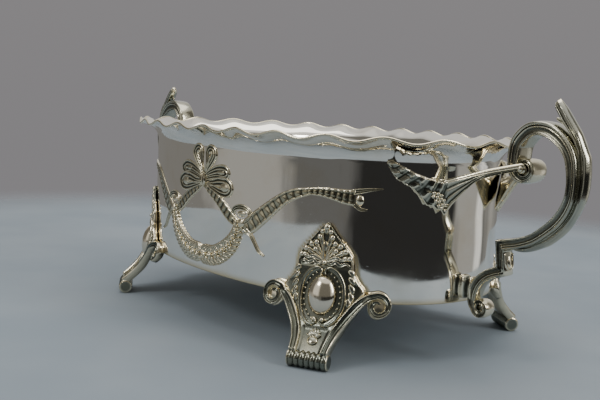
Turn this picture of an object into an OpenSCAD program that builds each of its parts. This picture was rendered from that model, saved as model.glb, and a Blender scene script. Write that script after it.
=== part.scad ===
// Two-handled oval serving bowl on four cast feet, in silver plate.
// Millimetres. +X runs from handle to handle, -Y is the front, +Z is up.
// The origin is on the table, under the middle of the bowl.

/* [Bowl] */
// Half of the wall's length, from the middle to the handle end
body_a = 110; // [100:1:120]
// Half of the wall's width, from the middle to the front
body_b = 69.6; // [64:0.2:76]
// Squareness of the oval: 2 is an ellipse
oval_n = 2.22; // [2:0.02:2.6]
// Thickness of the sheet
sheet = 1.2; // [0.8:0.1:2]
// Height of the underside above the table
base_z = 27.3; // [25:0.1:30]
// Height at which the wall starts to flare
flare_z = 89; // [86:0.5:91]
// Mean height of the rim
rim_z = 99.2; // [97:0.1:102]
// How far the rim overhangs the wall
rim_out = 10.3; // [8:0.1:12]
// Number of waves round the rim (a multiple of 2)
waves = 26; // [20:2:32]
// Height of a wave above and below the mean
wave_h = 1.4; // [0:0.1:2]
// Radius of the wire round the rim
wire_r = 0.8; // [0.6:0.1:1.2]

/* [Feet] */
// Distance of a foot from the middle, along X
foot_x = 75.7; // [70:0.1:80]
// Radius of the rolled toe
toe_r = 5; // [4:0.1:6]
// Width of the rolled toe
toe_w = 20; // [16:0.5:22]
// How far the toe's middle stands out from the wall
toe_out = 16.4; // [14:0.2:19]
// Height of the top of the foot's plate
plate_top = 60.8; // [58:0.2:62]
// Thickness of the foot's plate
plate_t = 3.2; // [2:0.1:4]
// Distance of each side scroll from the foot's middle
scroll_x = 24.4; // [22:0.2:26]
// Radius of each side scroll
scroll_r = 5.8; // [4.8:0.1:6]

/* [Handles] */
// Width of the handle's band
band_w = 10; // [8:0.2:12]
// Width of the handle's step and foot scroll
foot_scroll_w = 6.2; // [5:0.2:8]
// Width of the leaf along the handle's back
leaf_w = 5.6; // [4:0.2:8]
// Radius of the eye at the end of the handle's curl
eye_r = 5.3; // [4.6:0.1:6]
// Radius of the bar through the eye
bar_r = 1.9; // [1.4:0.1:2.4]
// Thickness of the wing brackets
wing_t = 2.4; // [1.8:0.1:3]

/* [Hidden] */

silver = "silver";
warm_silver = "#c9c2ab";
// Stations in one wave, and round the whole oval
wave_steps = 6;
stations = waves * wave_steps;
// Steps of the table of arc length, and of a smooth curve between two of its points
arc_steps = 720;
curve_steps = 5;
// The wave grows outwards across the flare with this power
wave_growth = 2;
// Clearance of the bar in the eye
bar_gap = 0.05;
// How far the wall is turned in at its bottom edge
bottom_turn = 0.7;
// Overlap that makes a cut run clean through, and a length beyond any foot
past = 1;
beyond = 60;

// ---- the oval ----
function power(v, p) = sign(v) * pow(abs(v), p);
// Point of the oval at angle t, with both half axes grown by off
function oval(t, off = 0) = [(body_a + off) * power(cos(t), 2 / oval_n),
                             (body_b + off) * power(sin(t), 2 / oval_n)];
// Table of [arc length, angle] along the oval, and the angle at a share of it
arc = [for (i = 0, s = 0; i <= arc_steps;
            s = s + norm(oval((i + 1) * 360 / arc_steps) - oval(i * 360 / arc_steps)),
            i = i + 1) [s, i * 360 / arc_steps]];
around = arc[arc_steps][0];
function angle_at(share) = lookup(share * around, arc);
station_angle = [for (k = [0:stations - 1]) angle_at(k / stations)];
// Height of the rim's wave at station k, for a point that stands off from the wall
function wave(k, off) = wave_h * pow(max(0, off) / rim_out, wave_growth) * cos(360 * k / wave_steps);

// ---- closed surface from a list of equal rings, joined back to the first ring ----
module ring_solid(rings) {
    m = len(rings[0]);
    n = len(rings);
    polyhedron(points = [for (r = rings) each r],
               faces = [for (i = [0:n - 1]) for (j = [0:m - 1])
                        let (a = i * m + j, b = i * m + (j + 1) % m,
                             c = ((i + 1) % n) * m + j, d = ((i + 1) % n) * m + (j + 1) % m)
                        each [[a, b, c], [b, d, c]]],
               convexity = 6);
}

// ---- curves ----
// Catmull-Rom curve through a list of points of any dimension
function curve_point(p, i, t) =
    let (a = p[max(0, i - 1)], b = p[i], c = p[i + 1], d = p[min(len(p) - 1, i + 2)])
    0.5 * (2 * b + (c - a) * t + (2 * a - 5 * b + 4 * c - d) * t * t
           + (3 * b - a - 3 * c + d) * t * t * t);
function smooth(p) = [for (i = [0:len(p) - 2]) for (k = [0:curve_steps - 1])
                      curve_point(p, i, k / curve_steps), p[len(p) - 1]];
// Sideways direction at point i of a path, lengthened at a corner so that the band keeps its width
function unit(v) = v / norm(v);
function side(p, i) =
    let (u = unit(p[min(i + 1, len(p) - 1)] - p[max(0, min(i, len(p) - 2))]),
         v = unit(p[max(1, i)] - p[max(0, i - 1)]),
         m = unit([-u[1] - v[1], u[0] + v[0]]))
    m / max(0.5, m * [-u[1], u[0]]);
// Outline of a band whose path points are [x, z, width]
function flat(p) = [for (q = p) [q[0], q[1]]];
function band_outline(p) =
    let (f = flat(p))
    concat([for (i = [0:len(p) - 1]) f[i] + side(f, i) * p[i][2] / 2],
           [for (i = [len(p) - 1:-1:0]) f[i] - side(f, i) * p[i][2] / 2]);
// Stands a drawing of X and Z upright, centred on Y = 0
module upright(width) {
    translate([0, width / 2, 0]) rotate([90, 0, 0]) linear_extrude(width) children();
}

// ---- bowl ----
// Profile of the sheet as [offset, height], outside upwards and then inside downwards
flare = [[0, flare_z], [0.9, rim_z - 6.6], [3.4, rim_z - 3], [6.6, rim_z - 1.2], [rim_out - wire_r, rim_z - 0.4]];
sheet_profile = concat(
    [[-sheet, base_z], [-bottom_turn, base_z], [0, base_z + 0.9]],
    flare,
    [for (i = [len(flare) - 1:-1:0]) flare[i] + [i < 3 ? -sheet : -sheet / 3, i < 1 ? 0 : sheet * 0.7]]);

module bowl_wall() {
    color(silver)
        ring_solid([for (k = [stations - 1:-1:0])
                    [for (p = sheet_profile)
                     let (q = oval(station_angle[k], p[0])) [q[0], q[1], p[1] + wave(k, p[0])]]]);
}

module base_plate() {
    color(silver) translate([0, 0, base_z])
        linear_extrude(sheet) polygon([for (t = station_angle) oval(t, -sheet)]);
}

// Solid that fills the bowl's outline, cut away from what is soldered to the wall
module bowl_block() {
    translate([0, 0, base_z]) linear_extrude(flare_z - base_z) polygon([for (t = station_angle) oval(t)]);
}

module rim_wire() {
    sides = 6;
    color(silver)
        ring_solid([for (k = [stations - 1:-1:0])
                    [for (j = [0:sides - 1])
                     let (a = 360 * j / sides, q = oval(station_angle[k], rim_out + wire_r * cos(a)))
                     [q[0], q[1], rim_z + wave(k, rim_out) + wire_r * sin(a)]]]);
}

// ---- feet ----
// Place and outward direction of a foot on the oval
foot_y = body_b * pow(1 - pow(foot_x / body_a, oval_n), 1 / oval_n);
foot_dir = atan2(pow(foot_y / body_b, oval_n - 1) / body_b, pow(foot_x / body_a, oval_n - 1) / body_a);
// Middle of a side scroll: its height, how far it lies behind the foot's front line, and its turn
scroll_z = 26.2;
scroll_back = 4.2;
scroll_turn = 14;
scroll_t = plate_t + 1.4;
// Narrowest part of the leg above the toe
neck_w = 16;
neck_z = 11;
// Half width, half height, height and outward shift of the oval boss
boss_w = 7.6;
boss_h = 9.2;
boss_z = 28;
boss_out = 0.4;
// Thickness of the leg, and how much of the toe is worn flat
leg_t = 4.4;
toe_wear = 0.3;
// Right half of the plate's front outline, from the tip down to the neck, as [sideways, height]
plate_side = smooth([[0, plate_top], [3.4, plate_top - 3.4], [9.2, 50.5], [12.4, 45], [13.6, 40.5],
                     [16.5, 35.2], [scroll_x - 3, 31.4], [scroll_x, scroll_z + scroll_r]]);
leg_side = smooth([[scroll_x - 4.6, scroll_z + 2.6], [17, 28.6], [13, 23.6], [10.2, 18], [neck_w / 2, neck_z]]);
// Middle line of the leg seen from the side, as [outward, height, thickness]
leg_path = smooth([[1.5, 36, leg_t], [2.6, 27, leg_t], [4, 19.5, leg_t], [8, 12, leg_t],
                   [toe_out, toe_r + 0.6, leg_t]]);

module foot_silhouette() {
    half = concat(plate_side, leg_side, [[neck_w / 2, 0]]);
    polygon(concat(half, [for (i = [len(half) - 1:-1:0]) [-half[i][0], half[i][1]]]));
}

// One foot at the front right end; the others are its mirror images
module foot() {
    color(warm_silver) {
        // plate against the wall
        difference() {
            intersection() {
                translate([foot_x, foot_y, 0]) rotate([90, 0, foot_dir + 90])
                    translate([0, 0, -beyond]) linear_extrude(2 * beyond) foot_silhouette();
                translate([0, 0, neck_z + 6]) linear_extrude(plate_top)
                    polygon([for (t = station_angle) oval(t, plate_t)]);
            }
            translate([0, 0, -past]) linear_extrude(plate_top * 2) polygon([for (t = station_angle) oval(t)]);
        }
        translate([foot_x, foot_y, 0]) rotate([0, 0, foot_dir]) {
            // leg that leaves the wall and runs out to the toe
            intersection() {
                upright(2 * beyond) polygon(band_outline(leg_path));
                rotate([90, 0, 90]) linear_extrude(beyond) foot_silhouette();
            }
            // oval boss
            difference() {
                translate([boss_out, 0, boss_z]) rotate_extrude($fn = 32)
                    polygon([for (a = [-90:7.5:90]) [boss_w * cos(a), boss_h * sin(a)]]);
                translate([-beyond, -beyond / 2, 0]) cube(beyond);
            }
            // rolled toe, flat where it stands
            intersection() {
                translate([toe_out, toe_w / 2, toe_r - toe_wear]) rotate([90, 0, 0])
                    cylinder(r = toe_r, h = toe_w, $fn = 32);
                translate([0, -beyond / 2, 0]) cube(beyond);
            }
        }
        // side scrolls, which stand where the wall has curved back
        for (s = [-1, 1])
            translate([foot_x, foot_y, 0]) rotate([0, 0, foot_dir])
                translate([-scroll_back, s * scroll_x, scroll_z]) rotate([0, 90, s * scroll_turn])
                    cylinder(r = scroll_r, h = scroll_t, $fn = 32);
    }
}

module foot_back_right() { foot(); }
module foot_back_left() { mirror([1, 0, 0]) foot(); }
module foot_front_right() { mirror([0, 1, 0]) foot(); }
module foot_front_left() { mirror([1, 0, 0]) mirror([0, 1, 0]) foot(); }

// ---- handles ----
eye = [139.8, 90.5];
// The loop's path, from the eye over the top and down to the step, as [x, z, width]
loop_path = smooth([[134.3, 91, 5], [134.4, 97, 5.8], [137, 103.6, 6], [140.6, 106.7, 5.8], [145.4, 107.7, 5.6],
                    [150.2, 106.9, 5.8], [154.6, 104.4, 5.6], [158.2, 100.9, 5.2], [160.7, 96.6, 4.8],
                    [162, 91, 4.5], [162.2, 85.5, 4.3], [161.5, 80, 4.4], [159.2, 74.8, 4.6], [155.7, 70, 4.6],
                    [150.8, 65.6, 4.5], [145, 61.8, 4.4], [138.2, 59, 4.4]]);
// The step below the loop has square corners
step_path = [[138.2, 59, 4.4], [129.8, 56.6, 4.6], [131.2, 45.8, 4.6], [123.6, 42.4, 4.5]];
// The scroll below the step
scroll_path = smooth([[123.6, 42.4, 4.5], [119, 38.2, 4.5], [116.7, 33.4, 4.5], [116.6, 28.4, 4.2], [119, 25, 3.4]]);
scroll_end = [121.3, 27];
scroll_end_r = 4;
// The leaf along the loop's back, from the step up to its free tip
leaf_path = smooth([[143.8, 57.6, 2], [152, 61.8, 3.4], [158.2, 67.8, 4], [162.4, 74.4, 4], [164.7, 80.2, 3.8],
                    [165.6, 85.4, 3.6], [165.6, 91, 3.8], [164.4, 97, 4.4], [162, 102.4, 4.6], [159.4, 107.2, 4.2],
                    [156.4, 111.6, 3.6], [153.4, 115.6, 3], [150.9, 119.6, 1.4]]);

module handle() {
    color(warm_silver) difference() {
        union() {
            upright(band_w) polygon(band_outline(loop_path));
            upright(foot_scroll_w) polygon(band_outline(step_path));
            upright(foot_scroll_w) polygon(band_outline(scroll_path));
            translate([eye[0], band_w / 2, eye[1]]) rotate([90, 0, 0]) cylinder(r = eye_r, h = band_w, $fn = 40);
            translate([scroll_end[0], foot_scroll_w / 2, scroll_end[1]]) rotate([90, 0, 0])
                cylinder(r = scroll_end_r, h = foot_scroll_w, $fn = 32);
        }
        translate([eye[0], band_w, eye[1]]) rotate([90, 0, 0]) cylinder(r = bar_r + bar_gap, h = 2 * band_w, $fn = 32);
    }
}

module thumb_leaf() {
    color(warm_silver) upright(leaf_w) difference() {
        polygon(band_outline(leaf_path));
        polygon(band_outline(loop_path));
    }
}

// How far the bar stands out on each side of the middle
bar_reach = band_w / 2 + 2;
module eye_bar() {
    color(warm_silver) translate([eye[0], bar_reach, eye[1]]) rotate([90, 0, 0])
        cylinder(r = bar_r, h = 2 * bar_reach, $fn = 32);
}

// Upper and lower edges of a wing bracket, from the leaf's far tip on the wall to the bar in the eye
wing_end_gap = 0.2;
wing_end_h = 1.6;
wing_end_lean = 0.6;
wing_top = smooth([[95.6, 39.2, 90], [100, 35.4, 86.6], [104.8, 30.2, 82.6], [110.2, 24.4, 80.8],
                   [119, 17.6, 83], [129.6, 11.6, 86.8],
                   [eye[0] + wing_end_lean, band_w / 2 + wing_end_gap, eye[1] + wing_end_h]]);
wing_low = smooth([[94.8, 39.6, 88.8], [98.4, 35.6, 82], [102.6, 29.2, 75], [108.9, 17.4, 68.4],
                   [113.6, 15.4, 72], [125, 11.8, 81.4],
                   [eye[0] - wing_end_lean, band_w / 2 + wing_end_gap, eye[1] - wing_end_h]]);

module wing() {
    n = len(wing_top);
    // each station is a flat rectangle that leans with the two edges
    color(warm_silver) polyhedron(
        points = [for (i = [0:n - 1])
                  let (a = wing_top[i], b = wing_low[i],
                       along = wing_top[min(i + 1, n - 1)] - wing_top[max(0, i - 1)],
                       out = unit(cross(a - b, along)) * wing_t)
                  each [a, b, b + out, a + out]],
        faces = concat([[3, 2, 1, 0]], [[for (j = [0:3]) 4 * (n - 1) + j]],
                       [for (i = [0:n - 2]) for (j = [0:3])
                        let (p = 4 * i + j, q = 4 * i + (j + 1) % 4) each [[p, q, p + 4], [q, q + 4, p + 4]]]));
}

// Pad of solder and sheet that holds the handle's foot scroll to the wall
pad_z = 29;
pad_h = 11;
pad_w = 6;
pad_reach = 7;
module lower_pad() {
    color(warm_silver) difference() {
        translate([body_a - sheet, -pad_w / 2, pad_z]) cube([pad_reach, pad_w, pad_h]);
        bowl_block();
        upright(band_w) polygon(band_outline(scroll_path));
    }
}

module handle_right() { handle(); }
module handle_left() { mirror([1, 0, 0]) handle(); }
module thumb_leaf_right() { thumb_leaf(); }
module thumb_leaf_left() { mirror([1, 0, 0]) thumb_leaf(); }
module wing_right_back() { wing(); }
module wing_right_front() { mirror([0, 1, 0]) wing(); }
module wing_left_back() { mirror([1, 0, 0]) wing(); }
module wing_left_front() { mirror([1, 0, 0]) mirror([0, 1, 0]) wing(); }
module eye_bar_right() { eye_bar(); }
module eye_bar_left() { mirror([1, 0, 0]) eye_bar(); }
module lower_pad_right() { lower_pad(); }
module lower_pad_left() { mirror([1, 0, 0]) lower_pad(); }

bowl_wall();
base_plate();
rim_wire();
foot_front_right();
foot_front_left();
foot_back_right();
foot_back_left();
handle_right();
handle_left();
thumb_leaf_right();
thumb_leaf_left();
wing_right_front();
wing_right_back();
wing_left_front();
wing_left_back();
eye_bar_right();
eye_bar_left();
lower_pad_right();
lower_pad_left();
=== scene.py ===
import math

import bpy
import numpy as np
from mathutils import Matrix, Vector


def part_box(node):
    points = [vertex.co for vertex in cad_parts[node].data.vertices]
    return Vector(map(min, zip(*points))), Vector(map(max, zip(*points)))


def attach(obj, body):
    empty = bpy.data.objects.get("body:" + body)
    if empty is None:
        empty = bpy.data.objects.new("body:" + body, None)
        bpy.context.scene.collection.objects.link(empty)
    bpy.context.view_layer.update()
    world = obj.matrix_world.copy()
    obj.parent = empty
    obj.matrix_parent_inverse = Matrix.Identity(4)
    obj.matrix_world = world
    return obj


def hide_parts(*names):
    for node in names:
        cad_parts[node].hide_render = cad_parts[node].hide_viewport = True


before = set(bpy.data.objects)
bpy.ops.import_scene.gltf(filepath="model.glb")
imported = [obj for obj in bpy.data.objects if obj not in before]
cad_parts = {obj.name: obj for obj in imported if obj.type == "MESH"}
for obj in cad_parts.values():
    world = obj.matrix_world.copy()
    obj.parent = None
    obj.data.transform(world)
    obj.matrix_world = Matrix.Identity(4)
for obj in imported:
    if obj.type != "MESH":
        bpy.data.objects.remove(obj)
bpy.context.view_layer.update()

# A two-handled oval bowl in silver plate: a raised wall with a waved rim and chased ornament, four
# cast feet, and two scroll handles held by winged brackets. Shapes are worked out in millimetres and
# made in metres. +X runs from handle to handle, -Y is the front, and the table is at Z = 0.
MM = 0.001

# ------------------------------------------------------------------ sizes


def box_mm(node):
    """Lowest and highest corners of a CAD node, in millimetres."""
    low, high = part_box(node)
    return np.array(low) / MM, np.array(high) / MM


plate_low, plate_high = box_mm("base_plate")
SHEET = plate_high[2] - plate_low[2]
BODY_A = plate_high[0] + SHEET
BODY_B = plate_high[1] + SHEET
BASE_Z = plate_low[2]
OVAL_N = 2.22
FLARE_Z = 88.6

wire_low, wire_high = box_mm("rim_wire")
WIRE_R = 0.62
RIM_OUT = wire_high[0] - BODY_A - WIRE_R
RIM_Z = (wire_high[2] + wire_low[2]) / 2
WAVES = 26
WAVE_H = 1.2
RIM_LEAN = 0.3
PER_WAVE = 24

# ------------------------------------------------------------------ the oval


def power(v, p):
    """Power that keeps the sign."""
    return np.sign(v) * np.abs(v) ** p


def oval(t, off=0.0):
    """Superellipse |x/a|^n + |y/b|^n = 1 at angle t, with both half axes grown by off."""
    return np.stack([(BODY_A + off) * power(np.cos(t), 2 / OVAL_N),
                     (BODY_B + off) * power(np.sin(t), 2 / OVAL_N)], -1)


# Arc length along the oval, from the middle of the front towards +X
ARC_T = np.linspace(-math.pi / 2, 1.5 * math.pi, 40001)
ARC_S = np.concatenate([[0], np.cumsum(np.linalg.norm(np.diff(oval(ARC_T), axis=0), axis=1))])
AROUND = ARC_S[-1]


def wall(s, z, h):
    """Point at arc length s round the wall from the front's middle, at height z, and h out from it."""
    p = oval(np.interp(np.mod(s, AROUND), ARC_S, ARC_T))
    n = np.stack([power(p[..., 0] / BODY_A, OVAL_N - 1) / BODY_A,
                  power(p[..., 1] / BODY_B, OVAL_N - 1) / BODY_B], -1)
    n /= np.linalg.norm(n, axis=-1, keepdims=True)
    return np.stack(np.broadcast_arrays(p[..., 0] + n[..., 0] * h, p[..., 1] + n[..., 1] * h, z), -1)


def arc_at(x):
    """Arc length from the front's middle to the wall point whose X is x."""
    quarter = len(ARC_T) // 4 + 1
    return np.sign(x) * np.interp(np.abs(x), oval(ARC_T[:quarter])[:, 0], ARC_S[:quarter])


# ------------------------------------------------------------------ meshes as whole arrays


def smoothstep(low, high, v):
    """0 below low, 1 above high, and an S curve between."""
    t = np.clip((v - low) / (high - low), 0, 1)
    return t * t * (3 - 2 * t)


def bump(v, width):
    """Rounded bump of height 1 at v = 0 that falls to 0 at width."""
    return np.clip(1 - (v / width) ** 2, 0, None) ** 2


def grid_quads(rows, columns, closed=True):
    """Quads of a grid of points; closed joins the last column to the first."""
    i = np.arange(rows - 1)[:, None] * columns
    j = np.arange(columns if closed else columns - 1)[None, :]
    k = (j + 1) % columns
    return np.stack([i + j, i + k, i + k + columns, i + j + columns], -1).reshape(-1, 4)


def outwards(verts, quads, tris):
    """The closed skin with its faces turned over if they enclose a negative volume."""
    centre = verts.mean(0)
    corners = [np.concatenate([tris, quads[:, [0, 1, 2]], quads[:, [0, 2, 3]]])[:, k] for k in range(3)]
    a, b, c = (verts[k] - centre for k in corners)
    if (a * np.cross(b, c)).sum() < 0:
        return verts, quads[:, ::-1], tris[:, ::-1]
    return verts, quads, tris


def tube(rings):
    """Closed skin over equal rings of points; each end is closed by a fan to the middle of its ring."""
    rows, columns = rings.shape[:2]
    a = np.arange(columns)
    b = (a + 1) % columns
    first, last = rows * columns, (rows - 1) * columns
    tris = np.concatenate([np.stack([b, a, np.full(columns, first)], -1),
                           np.stack([last + a, last + b, np.full(columns, first + 1)], -1)])
    verts = np.concatenate([rings.reshape(-1, 3), rings[0].mean(0)[None], rings[-1].mean(0)[None]])
    return outwards(verts, grid_quads(rows, columns), tris)


def loop_tube(rings):
    """Closed skin over rings whose last ring joins the first."""
    rows, columns = rings.shape[:2]
    a = np.arange(columns)
    b = (a + 1) % columns
    last = (rows - 1) * columns
    quads = np.concatenate([grid_quads(rows, columns), np.stack([last + a, last + b, b, a], -1)])
    return outwards(rings.reshape(-1, 3), quads, np.zeros((0, 3), int))


def join(parts):
    """One mesh of several."""
    verts, quads, tris, start = [], [], [], 0
    for v, q, t in parts:
        verts.append(v)
        quads.append(q + start)
        tris.append(t + start)
        start += len(v)
    return np.concatenate(verts), np.concatenate(quads), np.concatenate(tris)


def moved(part, place):
    """The mesh with its points put through place."""
    return place(part[0]), part[1], part[2]


def flipped(part, signs):
    """Mirror image by the signs of X, Y and Z; an odd number of them turns the faces over again."""
    verts, quads, tris = part
    if np.prod(signs) < 0:
        quads, tris = quads[:, ::-1], tris[:, ::-1]
    return verts * signs, quads, tris


def both_sides(parts):
    """The parts of a drawing together with their mirror images in its first coordinate."""
    return parts + [flipped(p, (-1, 1, 1)) for p in parts]


def gather(corner, rows, count):
    """Sum of the rows (three columns) at each of count points; corner names the point of each row."""
    return np.stack([np.bincount(corner, weights=rows[:, k], minlength=count) for k in range(3)], -1)


def stand_out(verts, quads, tris, rounds):
    """How far each point stands out from the smoothed surface round it, in millimetres.
    The surface is smoothed by averaging each point with its neighbours, rounds times."""
    a, b, c, d = quads.T
    e, f, g = tris.T
    one = np.concatenate([a, b, c, d, e, f, g])
    two = np.concatenate([b, c, d, a, f, g, e])
    start, end = np.concatenate([one, two]), np.concatenate([two, one])
    count = np.bincount(start, minlength=len(verts))[:, None]
    soft = verts
    for _ in range(rounds):
        soft = 0.5 * soft + 0.5 * gather(start, soft[end], len(verts)) / count
    flat = np.concatenate([np.cross(verts[c] - verts[a], verts[d] - verts[b]),
                           np.cross(verts[f] - verts[e], verts[g] - verts[e])])
    normal = np.zeros_like(verts)
    for corner in (np.concatenate([a, e]), np.concatenate([b, f]), np.concatenate([c, g]), d):
        normal += gather(corner, flat[:len(corner)], len(verts))
    normal /= np.maximum(np.linalg.norm(normal, axis=1, keepdims=True), 1e-9)
    return ((verts - soft) * normal).sum(1)


def piece(name, part, material, replaces=(), rounds=10, relief=0.12, tarnish=None):
    """Makes the object: points in millimetres, smooth faces, and two values on the points. "wear" is
    0.5 on a plain surface, 1 on an edge that stands out by relief millimetres and 0 in such a recess,
    and its high end also places a painted highlight; "tarnish" is 1 where the silver has gone yellow."""
    verts, quads, tris = part
    mesh = bpy.data.meshes.new(name)
    mesh.vertices.add(len(verts))
    mesh.vertices.foreach_set("co", (verts * MM).astype(np.float32).ravel())
    sizes = np.concatenate([np.full(len(quads), 4), np.full(len(tris), 3)])
    mesh.loops.add(int(sizes.sum()))
    mesh.loops.foreach_set("vertex_index", np.concatenate([quads.ravel(), tris.ravel()]).astype(np.int32))
    mesh.polygons.add(len(sizes))
    mesh.polygons.foreach_set("loop_start", np.concatenate([[0], np.cumsum(sizes)[:-1]]).astype(np.int32))
    mesh.update(calc_edges=True)
    mesh.polygons.foreach_set("use_smooth", np.ones(len(sizes), bool))
    wear = np.clip(0.5 + 0.5 * stand_out(verts, quads, tris, rounds) / relief, 0, 1)
    mesh.attributes.new("wear", "FLOAT", "POINT").data.foreach_set("value", wear.astype(np.float32))
    spots = np.zeros(len(verts)) if tarnish is None else tarnish
    mesh.attributes.new("tarnish", "FLOAT", "POINT").data.foreach_set("value", spots.astype(np.float32))
    mesh.materials.append(material)
    mesh.validate()
    made = bpy.data.objects.new(name, mesh)
    bpy.context.collection.objects.link(made)
    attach(made, "root")
    if replaces:
        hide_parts(*replaces)


# ------------------------------------------------------------------ curves and bands in a drawing plane


def curve(points, count):
    """Catmull-Rom curve through the points, whose columns may hold widths too, at count even steps of
    the length measured on the first two columns."""
    p = np.array(points, float)
    q = np.concatenate([[2 * p[0] - p[1]], p, [2 * p[-1] - p[-2]]])
    t = np.linspace(0, 1, 24, endpoint=False)[None, :, None]
    a, b, c, d = (q[k:len(p) - 1 + k][:, None, :] for k in range(4))
    line = 0.5 * (2 * b + (c - a) * t + (2 * a - 5 * b + 4 * c - d) * t ** 2
                  + (3 * b - a - 3 * c + d) * t ** 3)
    line = np.concatenate([line.reshape(-1, p.shape[1]), p[-1:]])
    s = np.concatenate([[0], np.cumsum(np.linalg.norm(np.diff(line[:, :2], axis=0), axis=1))])
    even = np.linspace(0, s[-1], count)
    return np.stack([np.interp(even, s, line[:, k]) for k in range(p.shape[1])], -1)


def left_of(path):
    """Unit direction to the left of each point of a flat path."""
    d = np.gradient(path[:, :2], axis=0)
    d /= np.maximum(np.linalg.norm(d, axis=1, keepdims=True), 1e-9)
    return np.stack([-d[:, 1], d[:, 0]], -1)


def band(path, across, heights):
    """Closed band along a flat path of rows (x, z, width). Its section runs from the right edge to the
    left edge over the top, at the shares "across" (-1 to 1), with heights of shape (stations, shares),
    and back along the bottom. Returns a mesh in drawing coordinates (x, z, h)."""
    spread = path[:, None, 2:3] / 2 * across[None, :, None]
    flat = path[:, None, :2] + left_of(path)[:, None, :] * spread
    rings = np.concatenate([flat, heights[..., None]], -1)
    return tube(rings)


def relief_band(path, top, base=-0.5, shares=11):
    """Band whose top is top(share across, share along) and whose underside is flat at height base."""
    u = np.linspace(-1, 1, shares)
    v = np.linspace(0, 1, len(path))
    high = top(u[None, :], v[:, None]) + np.zeros((len(path), shares))
    low = np.full((len(path), 2), base)
    return band(path, np.concatenate([u, [1, -1]]), np.concatenate([high, low], 1))


def bead(x, z, h, rx, rz=None, rh=None, turn=0.0, rows=7, columns=12):
    """Egg-shaped bead with half sizes rx, rz, rh, turned in the drawing plane."""
    rz = rx if rz is None else rz
    rh = rx if rh is None else rh
    a = np.linspace(-math.pi / 2, math.pi / 2, rows + 2)[1:-1, None]
    b = np.linspace(0, 2 * math.pi, columns, endpoint=False)[None, :]
    u, v, w = rx * np.cos(a) * np.cos(b), rz * np.cos(a) * np.sin(b), rh * np.sin(a) + 0 * b
    c, s = math.cos(turn), math.sin(turn)
    rings = np.stack([x + u * c - v * s, z + u * s + v * c, h + w], -1)
    verts, quads, tris = tube(rings)
    low, high = ((-2, -1), (-1, -2))[int(verts[-2, 2] > verts[-1, 2])]
    verts[low], verts[high] = (x, z, h - rh), (x, z, h + rh)
    return verts, quads, tris


def leaf(x, z, length, width, turn, height=0.9, curl=0.0, base=-0.4, h0=0.0, count=12):
    """Pointed leaf from its stem at (x, z) towards the angle turn, with a sunk midrib and raised
    lobes; curl bends its path sideways."""
    t = np.linspace(0, 1, count)
    bend = turn + curl * t
    step = length / (count - 1)
    px = x + np.concatenate([[0], np.cumsum(np.cos(bend[:-1]) * step)])
    pz = z + np.concatenate([[0], np.cumsum(np.sin(bend[:-1]) * step)])
    wide = width * (np.sin(math.pi * np.clip(t * 0.93 + 0.07, 0, 1)) ** 0.8) + 0.12
    path = np.stack([px, pz, wide], -1)

    def top(u, v):
        swell = 0.45 + 0.55 * np.sin(math.pi * v) ** 0.7
        return h0 + height * (1 - 0.75 * u ** 2) * swell - 0.35 * height * bump(u, 0.3)
    return relief_band(path, top, base=h0 + base, shares=9)


# ------------------------------------------------------------------ materials


def new_node(tree, kind, **values):
    """Adds a shader node; values are its properties or, by name, its inputs."""
    made = tree.nodes.new("ShaderNode" + kind)
    for key, value in values.items():
        if hasattr(made, key):
            setattr(made, key, value)
        else:
            made.inputs[key.replace("_", " ")].default_value = value
    return made


def colour_mix(tree, factor, low, high):
    """Mix of two colours or sockets; returns the output socket."""
    made = new_node(tree, "Mix", data_type="RGBA")
    for index, value in ((0, factor), (6, low), (7, high)):
        if isinstance(value, bpy.types.NodeSocket):
            tree.links.new(value, made.inputs[index])
        else:
            made.inputs[index].default_value = value if index == 0 else (*value, 1)
    return made.outputs[2]


def calc(tree, operation, *values, clamp=False):
    """Math node on sockets or numbers; returns the output socket."""
    made = new_node(tree, "Math", operation=operation, use_clamp=clamp)
    for index, value in enumerate(values):
        if isinstance(value, bpy.types.NodeSocket):
            tree.links.new(value, made.inputs[index])
        else:
            made.inputs[index].default_value = value
    return made.outputs[0]


def map_range(tree, value, low, high, to_low=0.0, to_high=1.0, smooth=True):
    """Value carried from one range to another, held at its ends."""
    made = new_node(tree, "MapRange", interpolation_type="SMOOTHSTEP" if smooth else "LINEAR")
    tree.links.new(value, made.inputs["Value"])
    for key, number in (("From Min", low), ("From Max", high), ("To Min", to_low), ("To Max", to_high)):
        if isinstance(number, bpy.types.NodeSocket):
            tree.links.new(number, made.inputs[key])
        else:
            made.inputs[key].default_value = number
    return made.outputs["Result"]


def noise(tree, vector, scale, detail=3.0, roughness=0.5):
    """Noise in object coordinates; scale is in waves per metre."""
    made = new_node(tree, "TexNoise", Scale=scale, Detail=detail, Roughness=roughness)
    tree.links.new(vector, made.inputs["Vector"])
    return made.outputs["Fac"]


def new_group(name, inputs, outputs):
    """Empty node group with named number or vector sockets; returns it with its two end nodes."""
    group = bpy.data.node_groups.new(name, "ShaderNodeTree")
    for title, kind, value in inputs:
        socket = group.interface.new_socket(title, in_out="INPUT", socket_type=kind)
        if value is not None:
            socket.default_value = value
    for title, kind in outputs:
        group.interface.new_socket(title, in_out="OUTPUT", socket_type=kind)
    return group, group.nodes.new("NodeGroupInput"), group.nodes.new("NodeGroupOutput")


FLOAT, VECTOR = "NodeSocketFloat", "NodeSocketVector"


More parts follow.
